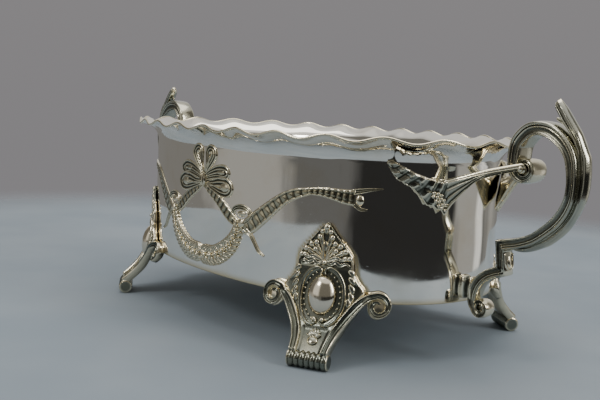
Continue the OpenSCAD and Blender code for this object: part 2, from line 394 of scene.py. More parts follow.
def patina_group():
    """Masks of an old casting: Recess is 1 where dirt stays in the hollows, Edge is 1 on rubbed edges that
    also take a painted highlight.
    Both come from the wear value with cloudy noise added."""
    sockets = [("Wear", FLOAT, 0.5), ("Vector", VECTOR, None), ("Depth", FLOAT, 1.0), ("Scale", FLOAT, 300.0)]
    group, into, out = new_group("patina", sockets, [("Recess", FLOAT), ("Edge", FLOAT)])
    cloud = new_node(group, "TexNoise", Detail=4.0, Roughness=0.6)
    group.links.new(into.outputs["Vector"], cloud.inputs["Vector"])
    group.links.new(into.outputs["Scale"], cloud.inputs["Scale"])
    shift = calc(group, "MULTIPLY_ADD", cloud.outputs["Fac"], 0.22, -0.11)
    value = calc(group, "ADD", into.outputs["Wear"], shift)
    hollow = map_range(group, value, 0.2, 0.68, 1.0, 0.0)
    group.links.new(calc(group, "MULTIPLY", hollow, into.outputs["Depth"], clamp=True), out.inputs["Recess"])
    group.links.new(map_range(group, value, 0.66, 1.0), out.inputs["Edge"])
    return group


def scratch_group():
    """Fine wear of polished silver: Haze is a cloudy value of handling marks, Height is a slow swell
    of the hand-raised sheet together with hairline scratches."""
    sockets = [("Vector", VECTOR, None), ("Swell", FLOAT, 1.0), ("Hair", FLOAT, 1.0)]
    group, into, out = new_group("polish_marks", sockets, [("Haze", FLOAT), ("Height", FLOAT)])
    vector = into.outputs["Vector"]
    group.links.new(noise(group, vector, 38.0, 4.0, 0.6), out.inputs["Haze"])
    slow = noise(group, vector, 26.0, 1.0, 0.4)
    stretch = new_node(group, "Mapping", Rotation=(0.5, 0.3, 0.9), Scale=(40.0, 900.0, 1400.0))
    group.links.new(vector, stretch.inputs["Vector"])
    hair = noise(group, stretch.outputs["Vector"], 1.0, 2.0, 0.5)
    hair = map_range(group, hair, 0.66, 0.78)
    swell = calc(group, "MULTIPLY", slow, into.outputs["Swell"])
    hair = calc(group, "MULTIPLY", hair, into.outputs["Hair"])
    group.links.new(calc(group, "MULTIPLY_ADD", hair, -0.003, swell), out.inputs["Height"])
    return group


PATINA = patina_group()
POLISH = scratch_group()


def start_material(name):
    """Material with a Principled shader, object coordinates, and the two point values."""
    made = bpy.data.materials.new(name)
    made.use_nodes = True
    tree = made.node_tree
    shader = tree.nodes["Principled BSDF"]
    shader.inputs["Metallic"].default_value = 1.0
    place = new_node(tree, "TexCoord").outputs["Object"]
    wear = new_node(tree, "Attribute", attribute_name="wear").outputs["Fac"]
    tarnish = new_node(tree, "Attribute", attribute_name="tarnish").outputs["Fac"]
    return made, tree, shader, place, wear, tarnish


def use_group(tree, group, **inputs):
    """Places a node group; an input may be a socket or a number."""
    made = tree.nodes.new("ShaderNodeGroup")
    made.node_tree = group
    for title, value in inputs.items():
        if isinstance(value, bpy.types.NodeSocket):
            tree.links.new(value, made.inputs[title])
        else:
            made.inputs[title].default_value = value
    return made.outputs


def add_bump(tree, shader, height, distance):
    """Bump of the given height socket; distance is the metres that a height of 1 stands for."""
    made = new_node(tree, "Bump", Distance=distance, Strength=1.0)
    tree.links.new(height, made.inputs["Height"])
    tree.links.new(made.outputs["Normal"], shader.inputs["Normal"])


SILVER = (0.91, 0.885, 0.82)
YELLOW_TARNISH = (0.62, 0.47, 0.20)
PATINA_DARK = (0.045, 0.05, 0.038)
# Gold of rubbed edges; it also stands in for the glint of a bright window, so it is partly a painted
# highlight.
RUBBED_GOLD_AND_HIGHLIGHT = (0.95, 0.87, 0.66)


def polished_silver():
    """Mirror-bright sheet: slow swell, hairlines, faint haze, and yellow tarnish at the joins."""
    made, tree, shader, place, _, tarnish = start_material("polished_silver")
    marks = use_group(tree, POLISH, Vector=place, Swell=1.0, Hair=1.0)
    warm = map_range(tree, marks["Haze"], 0.45, 0.75)
    colour = colour_mix(tree, warm, SILVER, (0.86, 0.81, 0.70))
    colour = colour_mix(tree, tarnish, colour, YELLOW_TARNISH)
    tree.links.new(colour, shader.inputs["Base Color"])
    rough = map_range(tree, marks["Haze"], 0.35, 0.75, 0.035, 0.10)
    rough = calc(tree, "MULTIPLY_ADD", tarnish, 0.22, rough)
    tree.links.new(rough, shader.inputs["Roughness"])
    add_bump(tree, shader, marks["Height"], 0.0012)
    return made


def cast_silver(name, depth, rough_low, rough_high, scale, cool, warm):
    """Casting with dark grey-green patina in its hollows and golden edges, partly rubbed plate and partly a
    painted highlight.
    """
    made, tree, shader, place, wear, tarnish = start_material(name)
    masks = use_group(tree, PATINA, Wear=wear, Vector=place, Depth=depth, Scale=scale)
    marks = use_group(tree, POLISH, Vector=place, Swell=0.3, Hair=1.0)
    cloud = map_range(tree, marks["Haze"], 0.35, 0.7)
    colour = colour_mix(tree, cloud, cool, warm)
    colour = colour_mix(tree, masks["Recess"], colour, PATINA_DARK)
    # Painted highlight, in part: edges that stand out are mixed towards gold, both for rubbed plate and for
    # the glint of a window.
    colour = colour_mix(tree, calc(tree, "MULTIPLY", masks["Edge"], 0.8), colour, RUBBED_GOLD_AND_HIGHLIGHT)
    colour = colour_mix(tree, tarnish, colour, YELLOW_TARNISH)
    tree.links.new(colour, shader.inputs["Base Color"])
    rough = map_range(tree, masks["Recess"], 0.0, 1.0, rough_low, rough_high)
    tree.links.new(rough, shader.inputs["Roughness"])
    grain = noise(tree, place, 1800.0, 3.0, 0.6)
    height = calc(tree, "MULTIPLY_ADD", grain, 0.05, marks["Height"])
    add_bump(tree, shader, height, 0.0008)
    return made


BRIGHT = polished_silver()
# Painted dark reflection: the feet get a darker copy of the casting than the handles, standing in for the dim
# room that their shiny faces mirror.
CAST = cast_silver("cast_silver", 1.0, 0.09, 0.34, 160.0, (0.20, 0.22, 0.19), (0.31, 0.30, 0.23))
RUBBED = cast_silver("rubbed_silver", 0.95, 0.07, 0.3, 160.0, (0.41, 0.42, 0.36), (0.56, 0.53, 0.41))
# Painted reflection: the chased ornament's golden base colour stands in for the warm room that the polished
# sheet mirrors; its dark hollows are patina.
CHASED = cast_silver("chased_silver", 1.0, 0.10, 0.34, 260.0, (0.46, 0.44, 0.33), (0.56, 0.50, 0.33))
EDGE = cast_silver("edge_silver", 0.3, 0.10, 0.3, 160.0, (0.50, 0.47, 0.36), (0.66, 0.60, 0.42))

# ------------------------------------------------------------------ the bowl's sheet


def wave(s):
    """Rim wave, -1 in a trough and 1 on a crest; a trough is at the middle of the front."""
    return -np.cos(2 * math.pi * WAVES * s / AROUND)


def sheet_profile():
    """Rows (offset, height) of the outer face from the bottom edge up and over the rim to the
    inner face's bottom. The flare is part of an ellipse, upright where it leaves the wall."""
    flare_h = RIM_Z - FLARE_Z
    a = np.linspace(0, math.radians(74), 26)
    reach = (1 - np.cos(a)) / (1 - math.cos(a[-1]))
    rise = np.sin(a) / math.sin(a[-1])
    out_flare = np.stack([(RIM_OUT - 0.2) * reach, FLARE_Z + (flare_h - 0.3) * rise], -1)
    foot = [[-SHEET, BASE_Z + 0.2], [-SHEET + 0.25, BASE_Z], [-0.45, BASE_Z], [-0.12, BASE_Z + 0.14],
            [0, BASE_Z + 0.5], [0, BASE_Z + 1]]
    up = np.stack([np.zeros(44), np.linspace(BASE_Z + 1.8, FLARE_Z - 1, 44)], -1)
    thin = np.linspace(SHEET, 0.6, 26)
    slope = np.gradient(out_flare, axis=0)
    slope /= np.linalg.norm(slope, axis=1, keepdims=True)
    in_flare = out_flare + np.stack([-slope[:, 1], slope[:, 0]], -1) * thin[:, None]
    down = np.stack([np.full(12, -SHEET), np.linspace(FLARE_Z - 4, BASE_Z + 1, 12)], -1)
    return np.concatenate([foot, up, out_flare, in_flare[::-1], down])


def wall_tarnish(s, z):
    """Where the wall has gone yellow: a line round the plate of each foot, and the bottom edge."""
    stain = 0.7 * smoothstep(BASE_Z + 3.5, BASE_Z, z)
    for middle in (FOOT_S, -FOOT_S, AROUND / 2 - FOOT_S, AROUND / 2 + FOOT_S):
        x = (s - middle + AROUND / 2) % AROUND - AROUND / 2
        gap = np.abs(x) - np.interp(z, FOOT_HALF[::-1, 0], FOOT_HALF[::-1, 1])
        line = bump(gap - 0.9, 1.5) * smoothstep(24, 30, z) * smoothstep(62.5, 60.5, z)
        stain = np.maximum(stain, 0.9 * line)
    return stain


def bowl_sheet():
    """The wall: the sheet's profile carried round the oval, with the rim's wave added as a power of
    the offset, and the wave leaning the rim in and out a little. Also returns the tarnish."""
    profile = sheet_profile()
    s = np.linspace(0, AROUND, WAVES * PER_WAVE, endpoint=False)[:, None]
    grow = np.clip(profile[None, :, 0] / RIM_OUT, 0, 1) ** 1.6
    z = profile[None, :, 1] + WAVE_H * grow * wave(s)
    h = profile[None, :, 0] - RIM_LEAN * grow * wave(s)
    return loop_tube(wall(s + 0 * h, z, h)), wall_tarnish(s + 0 * h, z).ravel()


def rim_edge():
    """Thin round wire along the waved edge."""
    s = np.linspace(0, AROUND, WAVES * PER_WAVE, endpoint=False)[:, None]
    a = np.linspace(0, 2 * math.pi, 12, endpoint=False)[None, :]
    z = RIM_Z + WAVE_H * wave(s) + WIRE_R * np.sin(a)
    h = RIM_OUT - RIM_LEAN * wave(s) + WIRE_R * np.cos(a)
    return loop_tube(wall(s + 0 * a, z, h))


def bowl_floor():
    """Base plate: ovals shrunk towards the middle, slightly crowned, with a fillet where it meets the
    wall and a shallow step round its underside."""
    k = np.concatenate([np.linspace(0, 0.9, 16)[1:], np.linspace(0.915, 0.995, 12)])
    edge = smoothstep(0.93, 1.0, k)
    top = BASE_Z + SHEET + 0.9 * (1 - (k / 0.93).clip(0, 1) ** 2) + 2.4 * edge ** 2
    under = BASE_Z + 0.15 + 0.9 * (1 - (k / 0.93).clip(0, 1) ** 2) + 0.5 * bump(k - 0.955, 0.012)
    scale = np.concatenate([k, k[::-1]])
    z = np.concatenate([under, top[::-1]])
    t = np.linspace(-math.pi, math.pi, 240, endpoint=False)
    flat = oval(t, -SHEET)
    rings = np.concatenate([flat[None] * scale[:, None, None],
                            np.broadcast_to(z[:, None, None], (len(z), len(t), 1))], -1)
    return tube(rings)


# ------------------------------------------------------------------ handles

EYE = (139.8, 90.5)


def moulding(u):
    """Depth of the moulding cut into a handle's side at share u across it: a rubbed inner bead, a
    broad hollow, a sharp groove and a round outer reed."""
    hollow = 0.85 * np.clip(1 - ((u + 0.22) / 0.48) ** 2, 0, None) ** 0.8
    groove = 0.95 * bump(u - 0.38, 0.13)
    reed = 0.5 * np.clip(np.abs(u - 0.72) / 0.28, 0, 1.2) ** 2.4 * (u > 0.45)
    bead_edge = 0.45 * np.clip(np.abs(u + 0.86) / 0.14, 0, 1.2) ** 2.2 * (u < -0.72)
    return hollow + groove + reed + bead_edge


def moulded_band(path, left, half_depth, side_cut, swell):
    """Band with a moulded section along a path of rows (x, z, width). half_depth is half of its size
    in Y; side_cut(u) is the depth cut into both sides; swell rounds its broad faces outwards."""
    u = np.sin(np.linspace(-1, 1, 45) * math.pi / 2)[::-1]
    w = np.linspace(1, -1, 11)[1:-1]
    n, d = len(path), half_depth[:, None]
    wide = np.maximum(path[:, 2:3], 0.3)
    face = 1 + 2 * swell * (1 - w[None, :] ** 2) / wide
    side = d - np.minimum(side_cut(u)[None, :], 0.6 * d)
    end_h = side[:, -1:] * w[None, :]
    start_h = side[:, :1] * w[None, ::-1]
    across = np.concatenate([np.tile(u, (n, 1)), -face, np.tile(u[::-1], (n, 1)), face], 1)
    high = np.concatenate([side, end_h, -side[:, ::-1], start_h], 1)
    flat = path[:, None, :2] + left[:, None, :] * (across * wide / 2)[..., None]
    return tube(np.concatenate([flat, high[..., None]], -1))


def spiral(centre, start_deg, turns, radii, widths, count):
    """Rows (x, z, width) along a spiral round centre; radii and widths are given at even steps."""
    t = np.linspace(0, 1, count)
    a = np.radians(start_deg) + t * turns * 2 * math.pi
    knots = np.linspace(0, 1, len(radii))
    r = np.interp(t, knots, radii)
    return np.stack([centre[0] + r * np.cos(a), centre[1] + r * np.sin(a), np.interp(t, knots, widths)], -1)


def mitred(pieces):
    """Joins smooth pieces of path at square corners. Each corner becomes two stations, a hair apart,
    that share the direction of the mitre."""
    hair = 0.15
    paths, lefts = [], []
    for k, p in enumerate(pieces):
        side = left_of(p)
        p = p.copy()
        for end, other in ((0, k - 1), (-1, k + 1)):
            if 0 <= other < len(pieces):
                near = left_of(pieces[other])[-1 if end == 0 else 0]
                mean = side[end] + near
                mean /= np.linalg.norm(mean)
                side[end] = mean / max(0.5, mean @ side[end])
                inward = p[1, :2] - p[0, :2] if end == 0 else p[-2, :2] - p[-1, :2]
                p[end, :2] += inward / np.linalg.norm(inward) * hair
        paths.append(p)
        lefts.append(side)
    return np.concatenate(paths), np.concatenate(lefts)


# Ends of the step's upright face: X, Z and the band's width
STEP_TOP = [129.8, 56.7, 4.6]
STEP_LOW = [131.2, 45.7, 4.6]


def handle_path():
    """The whole band: out of the eye's spiral, over the loop, round the step and into the foot scroll."""
    coil = spiral(EYE, 565, -395 / 360, [2.3, 2.45, 3.0, 3.6, 4.05, 4.25, 4.75, 5.75],
                  [1.2, 1.7, 2.0, 2.1, 2.4, 2.9, 4.0, 5.2], 26)
    loop = [[134.2, 96.2, 5.7], [134.9, 100.4, 5.8], [137, 103.7, 6.0], [140.6, 106.7, 5.8],
            [145.4, 107.7, 5.6], [150.2, 106.9, 5.8], [154.6, 104.4, 5.6], [158.2, 100.9, 5.1],
            [160.7, 96.6, 4.8], [161.9, 91, 4.5], [162.2, 85.5, 4.3], [161.5, 80, 4.4],
            [159.3, 74.8, 4.6], [155.8, 70, 4.6], [150.8, 65.6, 4.5], [145.1, 61.6, 4.4],
            [138.2, 58.8, 4.4], STEP_TOP]
    upper = curve(np.concatenate([coil, loop]), 330)
    step = curve([STEP_TOP, STEP_LOW], 8)
    shelf = [STEP_LOW, [123.6, 42.4, 4.5], [119.0, 38.2, 4.5], [116.8, 33.4, 4.5], [116.5, 29.0, 4.0]]
    roll = spiral((121.3, 26.9), 200, 480 / 360, [3.5, 2.8, 3.0, 2.8, 2.1, 1.2],
                  [3.0, 2.3, 2.2, 2.0, 1.6, 1.2], 22)
    lower = curve(np.concatenate([shelf, roll]), 130)
    return [upper, step, lower]


def handle():
    """The moulded band of one handle, in drawing coordinates (x, z, h)."""
    path, left = mitred(handle_path())
    k = np.arange(len(path))
    depth = np.interp(k, [0, 12, 114, 197, 265, 330, 345, 468], [4.5, 5, 5, 4.6, 3.8, 3.3, 3.1, 2.9])
    return moulded_band(path, left, depth, moulding, 0.35)


def tongue_panel():
    """Framed tongue on the outer face of a handle's step, drawn as (y, z, h) with h towards +X."""
    frame_line = curve([[-2.4, 53.4, 0.9], [-2.4, 50, 0.9], [-2.3, 48.2, 0.9], [-1.6, 46.9, 0.9],
                        [0, 46.3, 0.9], [1.6, 46.9, 0.9], [2.3, 48.2, 0.9], [2.4, 50, 0.9],
                        [2.4, 53.4, 0.9]], 30)
    ring = relief_band(frame_line, lambda u, v: 0.8 * (1 - u ** 2), base=-0.8, shares=7)
    tongue = bead(0, 50.0, 0.1, 1.4, 3.0, 0.8, rows=9, columns=20)
    return join([ring, tongue])


def leaf_cut(u):
    """Side moulding of the thumb leaf: a groove beside the handle and a plain round back."""
    return 0.6 * bump(u - 0.4, 0.3) + 0.7 * np.clip(-u - 0.45, 0, None) ** 2 / 0.3


def sheath_cut(u):
    """Side moulding of the sheath: a bright edge next to the leaf and a slope down to the loop."""
    return 0.35 * (u + 1) + 0.4 * bump(u - 0.1, 0.25)


def thumb_leaf():
    """Long leaf up the loop's back with a rounded free tip, and the strap-like sheath that lies
    between it and the loop and ends in a point of its own."""
    edge = curve([[134.4, 55.7, 0.8], [139.0, 55.5, 1.5], [143.7, 56.4, 2.0], [148.6, 58.5, 2.3],
                  [153.3, 61.1, 2.6], [160.1, 67.5, 2.6], [164.2, 74.8, 2.4], [166.5, 80.2, 2.2],
                  [167.4, 84.8, 2.1], [167.5, 89.2, 2.1], [167.4, 92.4, 2.1], [166.8, 97.1, 2.2],
                  [165.3, 100.3, 2.3], [163.7, 103.5, 2.5], [161.9, 106.9, 2.8], [159.5, 110.1, 3.0],
                  [157.3, 113, 3.2], [155, 116, 3.1], [152.8, 118.4, 2.8], [151.4, 119.7, 1.8]], 190)
    left = left_of(edge)
    path = edge.copy()
    path[:, :2] += left * edge[:, 2:3] / 2
    t = np.linspace(0, 1, len(path))
    half = np.interp(t, [0, 0.1, 0.6, 0.9, 0.955, 0.985, 1], [1.6, 2.4, 2.5, 2.6, 2.4, 1.8, 1.0])
    blade = moulded_band(path, left, half, leaf_cut, 0.5)
    strap = curve([[141, 57.2, 0.8], [147, 60, 1.4], [153.5, 64, 1.8], [159, 69.3, 2.0],
                   [162.5, 74.5, 2.0], [164.5, 80, 1.9], [165.2, 86, 1.8], [165.0, 92, 1.9],
                   [164.0, 97.5, 2.1], [162.6, 102, 2.3], [160.2, 106, 2.4], [157, 109.2, 2.1],
                   [153.6, 111.0, 1.5], [150.8, 112.0, 0.6]], 150)
    t = np.linspace(0, 1, len(strap))
    half = np.interp(t, [0, 0.08, 0.6, 0.86, 1], [1.5, 2.8, 3.2, 2.8, 0.5])
    sheath = moulded_band(strap, left_of(strap), half, sheath_cut, 0.3)
    return join([blade, sheath])


def rod(line, radius, sides=12):
    """Round rod along a 3-D line, with a radius at each point and rounded ends."""
    line, radius = np.array(line, float), np.array(radius, float)
    t = np.gradient(line, axis=0)
    t /= np.linalg.norm(t, axis=1, keepdims=True)
    across = np.cross(t, [0.05, 0.1, 1.0])
    across /= np.linalg.norm(across, axis=1, keepdims=True)
    up = np.cross(across, t)
    a = np.linspace(0, 2 * math.pi, sides, endpoint=False)
    cap = np.array([1.0, 0.92, 0.7, 0.38])
    line = np.concatenate([line[:1] - t[:1] * radius[0] * np.sqrt(1 - cap[::-1, None] ** 2), line[1:-1],
                           line[-1:] + t[-1:] * radius[-1] * np.sqrt(1 - cap[:, None] ** 2)])
    radius = np.concatenate([radius[0] * cap[::-1], radius[1:-1], radius[-1] * cap])
    across = np.concatenate([np.repeat(across[:1], 4, 0), across[1:-1], np.repeat(across[-1:], 4, 0)])
    up = np.concatenate([np.repeat(up[:1], 4, 0), up[1:-1], np.repeat(up[-1:], 4, 0)])
    ring = across[:, None] * np.cos(a)[None, :, None] + up[:, None] * np.sin(a)[None, :, None]
    return tube(line[:, None] + ring * radius[:, None, None])


def lower_pad():
    """Pad between the wall and the foot scroll of the right handle: a small block with rounded
    corners, a waist, and a lip at each end."""
    low, high = box_mm("lower_pad_right")
    along = np.array([0, 0.12, 0.22, 0.32, 0.45, 0.55, 0.68, 0.78, 0.88, 0.96, 1.0])
    swell = np.array([1.0, 1.0, 0.97, 0.86, 0.82, 0.82, 0.86, 0.96, 1.0, 0.97, 0.88])[:, None]
    a = np.linspace(0, 2 * math.pi, 40, endpoint=False)[None, :]
    y = (high[1] - low[1]) / 2 * swell * power(np.cos(a), 0.5)
    z = (high[2] + low[2]) / 2 + (high[2] - low[2]) / 2 * swell * power(np.sin(a), 0.5)
    x = low[0] + (high[0] - low[0]) * along[:, None]
    return tube(np.stack([x + 0 * y, y, z], -1))


# ------------------------------------------------------------------ wing brackets

WING_TOP = curve([[95.4, -39.0, 90.4], [98.8, -36.3, 89.2], [102.1, -33.3, 87.3], [106.0, -28.9, 84.7],
                  [110.4, -20.7, 82.6], [117.6, -17.6, 84.7], [126.2, -13.2, 88.0], [139.8, -5.4, 92.0]], 121)
WING_LOW = curve([[95.2, -39.2, 89.4], [98.4, -36.2, 83.4], [102.2, -31.2, 80.2], [103.9, -27.7, 77.2],
                  [106.0, -24.5, 72.8], [108.6, -20.0, 71.0], [110.8, -17.3, 68.9], [113.5, -16.8, 72.6],
                  [118.8, -15.2, 79.6], [125.6, -12.8, 85.9], [139.2, -5.3, 90.8]], 121)


def wing_frame(s):
    """Top edge, lower edge and outward direction of the bracket at shares s of its length, from the
    far tip to the eye."""
    grid = np.linspace(0, 1, len(WING_TOP))
    lines = (WING_TOP, WING_LOW, np.gradient(WING_TOP + WING_LOW, axis=0))
    top, low, ahead = (np.stack([np.interp(s, grid, e[:, k]) for k in range(3)], -1) for e in lines)
    out = np.cross(ahead, top - low)
    out /= np.linalg.norm(out, axis=-1, keepdims=True)
    out *= np.sign((out * [1, -1, 0]).sum(-1, keepdims=True))
    return top, low, out


def on_wing(p):
    """Carries drawing points (share along, share up, height) onto the bracket."""
    top, low, out = wing_frame(p[:, 0])
    return low + (top - low) * p[:, 1:2] + out * p[:, 2:3]


def wing():
    """Winged bracket: overlapping leaf lobes towards the wall's tip, reeds that gather towards the
    eye, a round rib along the top, and a cluster of berries over the lower tip."""
    s = np.linspace(0, 1, 150)[:, None]
    t = np.linspace(0, 1, 34)[None, :]
    stem = smoothstep(0.44, 0.5, s)
    tooth = 1 - np.abs((s * 13 - t * 1.2) % 1 * 2 - 1)
    veins = 0.09 * np.cos(2 * math.pi * 2 * (s * 13 - t * 1.2)) * smoothstep(0.2, 0.6, tooth)
    lobes = 0.3 + 0.85 * tooth ** 0.7 * smoothstep(0, 0.12, t) * (1 - 0.45 * bump(t - 0.62, 0.16)) + veins
    reeds = 0.3 + 0.75 * np.abs(np.sin(math.pi * (3.6 * t ** 0.9 + 0.1))) ** 0.8
    high = lobes * (1 - stem) + reeds * stem + 0.5 * bump(t - 0.03, 0.06)
    high = 1.0 + high * smoothstep(0.0, 0.03, s)
    notch = -0.12 * (1 - np.sqrt(tooth)) * (1 - stem) * (1 - t) ** 3
    front = np.stack([s + 0 * t, t + notch, high], -1)
    back_t = np.linspace(1, 0, 8)[None, :]
    back = np.stack([s + 0 * back_t, back_t + 0 * s, np.full((len(s), 8), -0.5)], -1)
    plate = moved(tube(np.concatenate([front, back], 1)), on_wing)
    rib_s = np.linspace(0.40, 1.0, 40)
    top, _, out = wing_frame(rib_s)
    rib = rod(top + out * 0.6, 0.75 + 0.55 * rib_s)
    berries = []
    for up, count, first in ((0.10, 3, 0.405), (0.24, 4, 0.375), (0.38, 4, 0.355), (0.52, 3, 0.36)):
        for k in range(count):
            centre = on_wing(np.array([[first + 0.032 * k, up + 0.02 * (k % 2), 1.5]]))[0]
            verts, quads, tris = bead(0, 0, 0, 1.0, rows=5, columns=9)
            berries.append((verts[:, [0, 2, 1]] * [1, -1, 1] + centre, quads, tris))
    return join([plate, rib] + berries)


# ------------------------------------------------------------------ feet

FOOT_S = arc_at(75.7)
# Front face of a foot seen from the side: height, how far it stands out, and the metal's thickness
FOOT_SIDE = np.array([[61.4, 1.2, 1.2], [57, 1.6, 1.6], [52, 1.8, 1.8], [44, 2.2, 2.3], [36, 3.0, 3.1],
                      [30, 4.0, 3.9], [25, 5.1, 4.1], [19.5, 6.9, 3.9], [16, 8.8, 3.8], [12.4, 11.9, 3.6],
                      [9.4, 15.0, 3.2], [7.3, 17.4, 2.4]])
# Half width of the foot's plate and leg at each height
FOOT_HALF = np.array([[61.4, 0.3], [60.2, 1.6], [57.2, 4.0], [54.8, 6.2], [51, 10.0], [48, 12.3], [44, 13.2],
                      [41, 13.4], [38.5, 14.2], [36, 15.8], [34, 17.8], [32.4, 18.6], [30, 16.8], [27, 14.2],
                      [23, 12.2], [20, 11.0], [14.2, 8.6], [9.0, 7.4]])
BOSS_Z, BOSS_RX, BOSS_RZ = 29.8, 6.6, 8.95
RING_Z, RING_RX, RING_RZ = 29.4, 9.7, 12.3
TOE = (16.4, 3.75)


def foot_front(z):
    """How far a foot's front face stands out at height z, and its direction in (outward, upward)."""
    rows = FOOT_SIDE[::-1]
    fine = curve(np.stack([rows[:, 1], rows[:, 0]], -1), 200)
    slope = np.gradient(fine, axis=0)
    slope /= np.linalg.norm(slope, axis=1, keepdims=True)
    order = np.argsort(fine[:, 1])
    out = np.interp(z, fine[order, 1], fine[order, 0])
    turned = np.stack([slope[:, 1], -slope[:, 0]], -1)[order]
    normal = np.stack([np.interp(z, fine[order, 1], turned[:, k]) for k in range(2)], -1)
    return out, normal


def on_foot(p):
    """Carries drawing points (x, z, h) onto the foot's front face: h stands out from the face."""
    out, normal = foot_front(p[:, 1])
    return np.stack([p[:, 0], p[:, 1] + normal[:, 1] * p[:, 2], out + normal[:, 0] * p[:, 2]], -1)


def foot_place(s0):
    """Carries foot points (x, z, h) to their place: round the wall above, straight out below."""
    base = wall(s0, 0.0, 0.0)
    out = wall(s0, 0.0, 1.0) - base
    along = np.cross([0, 0, 1.0], out) * -1
    along *= np.sign(along @ (wall(s0 + 1, 0.0, 0.0) - base))

    def place(p):
        x, z, h = p.T
        straight = base + x[:, None] * along + h[:, None] * out + z[:, None] * [0, 0, 1.0]
        k = smoothstep(16, 26, z)[:, None]
        return wall(s0 + x, z, h) * k + straight * (1 - k)
    return place


def foot_body():
    """Plate and leg in one skin: across it the front face carries a border, a sunk ground inside the
    frame, behind the spray and down the leg, and the back lies on the wall or forms the leg's rear."""
    line = curve(FOOT_SIDE[:, [1, 0, 2]], 170)
    h, z, thick = line.T
    half = np.interp(z, FOOT_HALF[::-1, 0], FOOT_HALF[::-1, 1])
    half = np.convolve(np.pad(half, 3, mode="edge"), np.ones(7) / 7, "valid")
    slope = np.gradient(line[:, :2], axis=0)
    slope /= np.linalg.norm(slope, axis=1, keepdims=True)
    normal = np.stack([-slope[:, 1], slope[:, 0]], -1)
    u = np.linspace(1, -1, 71)
    x = half[:, None] * u[None, :]
    in_frame = np.hypot(x / 9.6, (z[:, None] - RING_Z) / 12.2)
    ground = -0.7 * smoothstep(1.0, 0.86, in_frame)
    spray = smoothstep(41.5, 44.5, z)[:, None] * smoothstep(0.94, 0.84, np.abs(u))[None, :]
    border = 0.35 * bump(np.abs(u) - 0.93, 0.07)[None, :] * smoothstep(34, 38, z)[:, None]
    round_off = -0.9 * smoothstep(0.93, 1.0, np.abs(u))[None, :] ** 2
    apron = smoothstep(17.0, 15.0, z)[:, None] * smoothstep(0.72, 0.55, np.abs(u))[None, :]
    high = ground - 0.75 * spray - 0.4 * apron + border + round_off
    u_back = np.linspace(-1, 1, 15)

    def ring(share, lift):
        """Points across the foot at shares of its half width, lifted off the side line."""
        return np.stack([half[:, None] * share[None, :], z[:, None] + normal[:, 1:] * lift,
                         h[:, None] + normal[:, :1] * lift], -1)
    front = ring(u, high)
    back = ring(u_back, -thick[:, None] + 0.8 * np.abs(u_back)[None, :] ** 4)
    return tube(np.concatenate([front, back], 1))


VOLUTE = (24.2, 27.2)


def side_scroll():
    """Reeded band that unrolls from the volute beside the plate and runs down the leg to the toe,
    drawn for the right side."""
    roll = spiral(VOLUTE, 60, 400 / 360, [1.0, 1.9, 2.8, 3.5, 4.0, 4.3, 4.5],
                  [1.4, 1.7, 2.0, 2.3, 2.6, 2.8, 2.9], 22)
    run = [[19.4, 30.2, 3.4], [15.6, 26.8, 4.2], [12.8, 22.6, 4.5], [10.8, 18.6, 4.4], [9.0, 14.6, 4.2],
           [7.9, 11.4, 3.9], [7.4, 8.6, 3.6], [7.2, 5.8, 3.3]]
    path = curve(np.concatenate([roll, run]), 190)
    volute = smoothstep(17.0, 21.5, path[:, 0])
    lift = (0.75 - 2.1 * volute)[:, None]
    u = np.linspace(1, -1, 25)
    reed = 0.85 * (bump(u - 0.72, 0.36) + bump(u + 0.72, 0.36)) - 0.25 * bump(u, 0.4)
    high = lift + reed[None, :] * np.clip(path[:, 2:3] / 3.4, 0.5, 1)
    base = np.repeat(-2.7 - 1.9 * volute[:, None], 2, 1)
    return band(path, np.concatenate([u, [-1, 1]]), np.concatenate([high, base], 1))


def boss():
    """Plain polished oval cushion inside the frame."""
    return bead(0, BOSS_Z, -1.2, BOSS_RX, BOSS_RZ, 4.9, rows=21, columns=48)


def frame_half():
    """Right half of the frame round the boss: a C-shaped band that curls inwards at both ends."""
    path = curve([[1.3, 39.0, 0.9], [0.7, 40.0, 1.1], [1.3, 41.2, 1.4], [3.4, 41.7, 1.7], [6.4, 39.8, 1.9],
                  [8.9, 35.8, 2.0], [9.8, 30.2, 2.0], [9.3, 24.4, 2.0], [7.4, 19.8, 1.9], [4.8, 17.4, 1.7],
                  [2.4, 17.2, 1.4], [1.0, 18.4, 1.1], [1.5, 19.7, 0.9]], 90)
    return relief_band(path, lambda u, v: 1.25 * (1 - u ** 2) ** 0.5 - 0.1, base=-1.0, shares=11)


